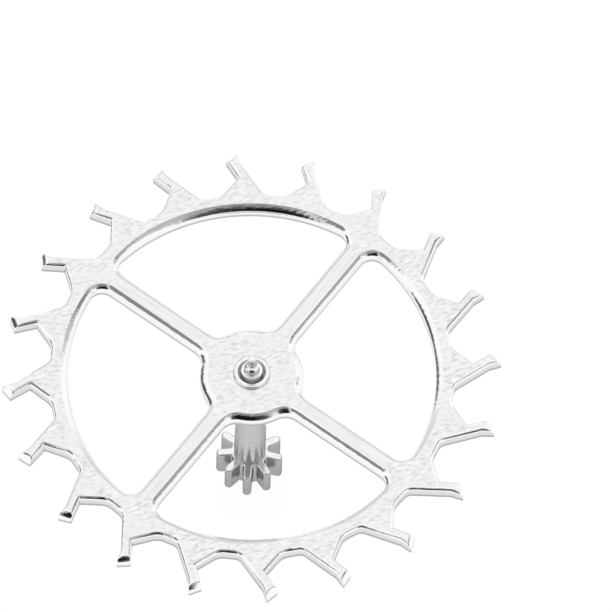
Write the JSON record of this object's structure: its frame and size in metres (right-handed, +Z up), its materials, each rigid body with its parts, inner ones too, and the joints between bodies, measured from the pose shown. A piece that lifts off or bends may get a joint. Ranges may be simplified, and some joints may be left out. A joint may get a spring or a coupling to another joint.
{
  "type": "escape wheel",
  "caption": "Club-tooth escape wheel with polished bevels, riveted on a long arbor that carries a small leaved pinion and a fine pivot at each end.",
  "frame": {"origin": "end of the lower pivot, on the turning axis", "axes": "+Z up the turning axis from the lower pivot through the pinion to the wheel; two of the wheel's arms lie along X and two along Y"},
  "size_m": [0.0046, 0.0046, 0.0025],
  "materials": {
    "wheel_steel": "hardened steel, lapped flat on top with a faint grain, walls and bevels polished",
    "pinion_steel": "hardened steel, turned and polished"
  },
  "bodies": {
    "root": {"escape_wheel": "wheel_steel", "escape_pinion": "pinion_steel"}
  },
  "joints": []
}
